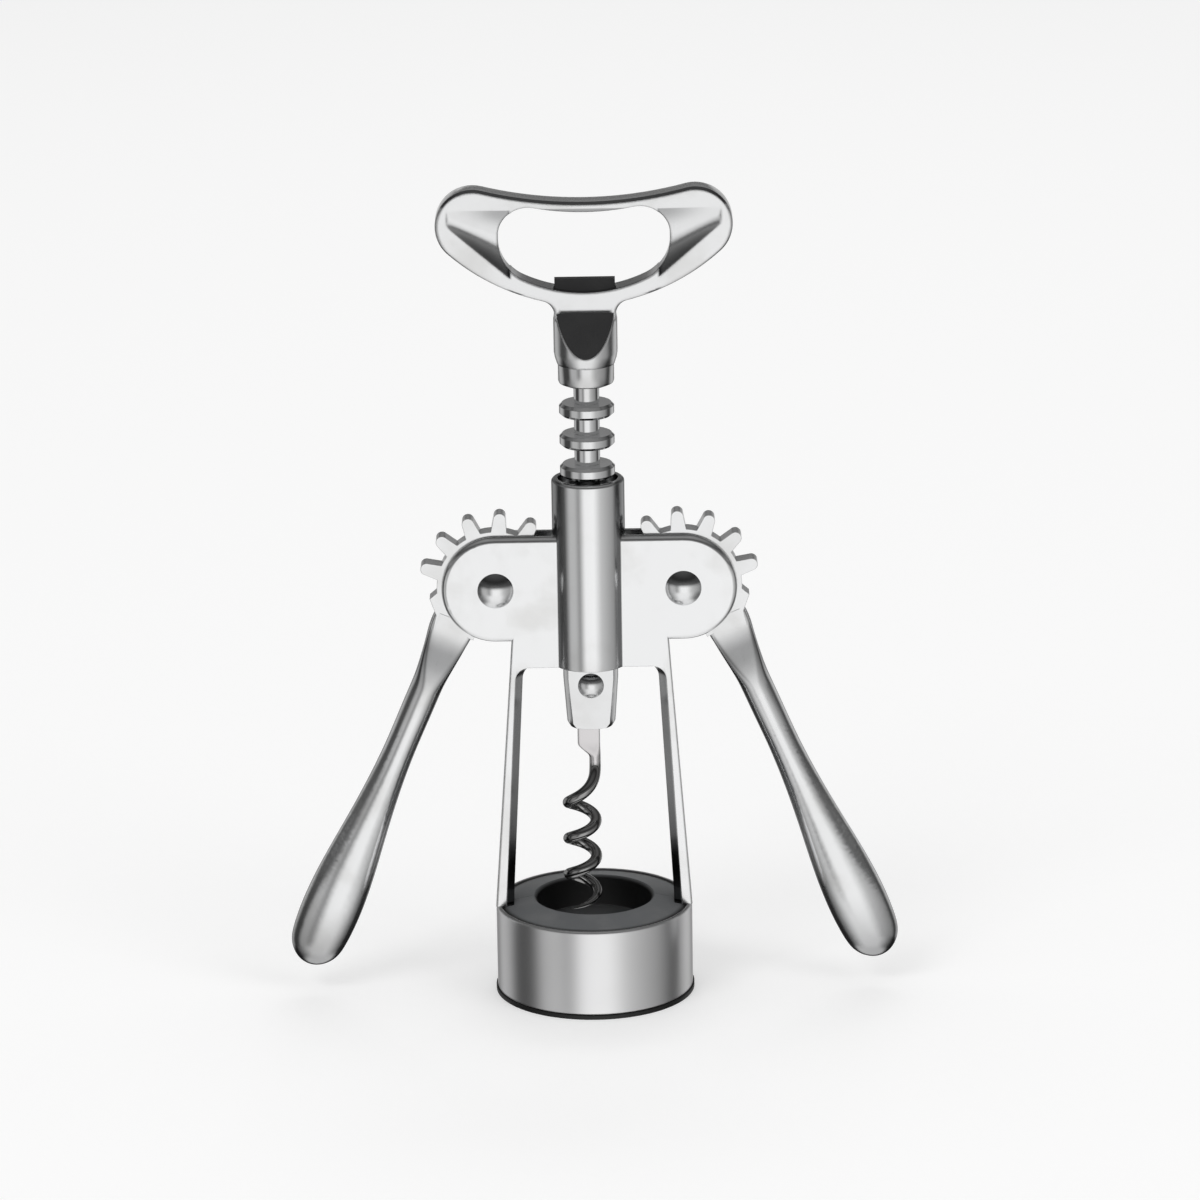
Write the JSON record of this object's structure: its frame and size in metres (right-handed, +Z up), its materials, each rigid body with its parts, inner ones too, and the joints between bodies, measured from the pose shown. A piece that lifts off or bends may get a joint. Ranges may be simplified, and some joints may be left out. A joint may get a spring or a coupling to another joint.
{
  "type": "wing corkscrew",
  "caption": "Wing corkscrew with two geared levers, a ringed rack spindle, a right-handed worm, a cap lifter in its looped handle and a round bottle guide.",
  "frame": {"origin": "centre of the underside of the round base", "axes": "+Z up along the spindle, +X towards the right lever, the front faces -Y"},
  "size_m": [0.1302, 0.0426, 0.1761],
  "materials": {
    "yoke_metal": "polished",
    "band_metal": "satin",
    "guide_plastic": "satin",
    "rivet_metal": "polished",
    "lever_metal": "polished",
    "spindle_metal": "polished",
    "worm_metal": "polished",
    "collar_metal": "polished",
    "handle_metal": "polished",
    "insert_plastic": "satin"
  },
  "bodies": {
    "frame": {"yoke": "yoke_metal", "base_band": "band_metal", "guide_front": "guide_plastic", "guide_rear": "guide_plastic", "pivot_left": "rivet_metal", "pivot_right": "rivet_metal"},
    "carrier": {"collar": "collar_metal"},
    "screw": {"handle": "handle_metal", "cap_lifter": "insert_plastic", "rack_spindle": "spindle_metal", "worm": "worm_metal", "worm_pin": "rivet_metal"},
    "left_wing": {"lever_left": "lever_metal"},
    "right_wing": {"lever_right": "lever_metal"}
  },
  "joints": [
    {"name": "rack_slide", "type": "slide", "parent": "frame", "child": "carrier", "axis": [0, 0, 1], "range_m": [-0.024, 0.0055]},
    {"name": "screw_spin", "type": "hinge", "parent": "carrier", "child": "screw", "pos_m": [0, 0, 0.12], "axis": [0, 0, 1], "continuous": true},
    {"name": "left_swing", "type": "hinge", "parent": "frame", "child": "left_wing", "pos_m": [-0.0198, 0, 0.09], "axis": [0, 1, 0], "range_deg": [-21.5, 93.6]},
    {"name": "right_swing", "type": "hinge", "parent": "frame", "child": "right_wing", "pos_m": [0.0198, 0, 0.09], "axis": [0, -1, 0], "range_deg": [-21.5, 93.6]}
  ],
  "couplings": [
    {"joint": "left_swing", "follows": "rack_slide", "rad_per_m": -68.027},
    {"joint": "right_swing", "follows": "rack_slide", "rad_per_m": -68.027}
  ]
}
